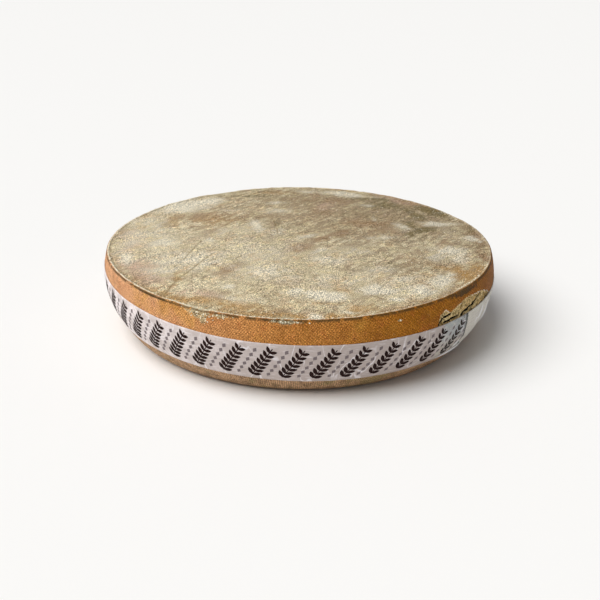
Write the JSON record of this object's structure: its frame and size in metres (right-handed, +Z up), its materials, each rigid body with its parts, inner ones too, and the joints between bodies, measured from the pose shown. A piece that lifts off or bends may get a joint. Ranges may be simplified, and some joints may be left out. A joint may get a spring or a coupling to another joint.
{
  "type": "cheese wheel",
  "caption": "Whole round wheel of hard cheese with a flat rough top, a rounded washed side, a paper band round it and clear film over the band's joint.",
  "frame": {"origin": "middle of the flat base that the wheel rests on, under the middle of its outline", "axes": "+Z up through the wheel's thickness, -Y towards the side that the picture shows, +X to that view's right"},
  "size_m": [0.6188, 0.6214, 0.1266],
  "materials": {
    "rind": "dry washed cheese rind, matt and grainy on top, waxy orange-brown on the side",
    "band_paper": "thin creased paper with dark print, slightly damp",
    "clear_film": "thin clear adhesive film, glossy, lightly creased"
  },
  "bodies": {
    "root": {"cheese_wheel": "rind", "label_band": "band_paper", "joint_film": "clear_film"}
  },
  "joints": []
}
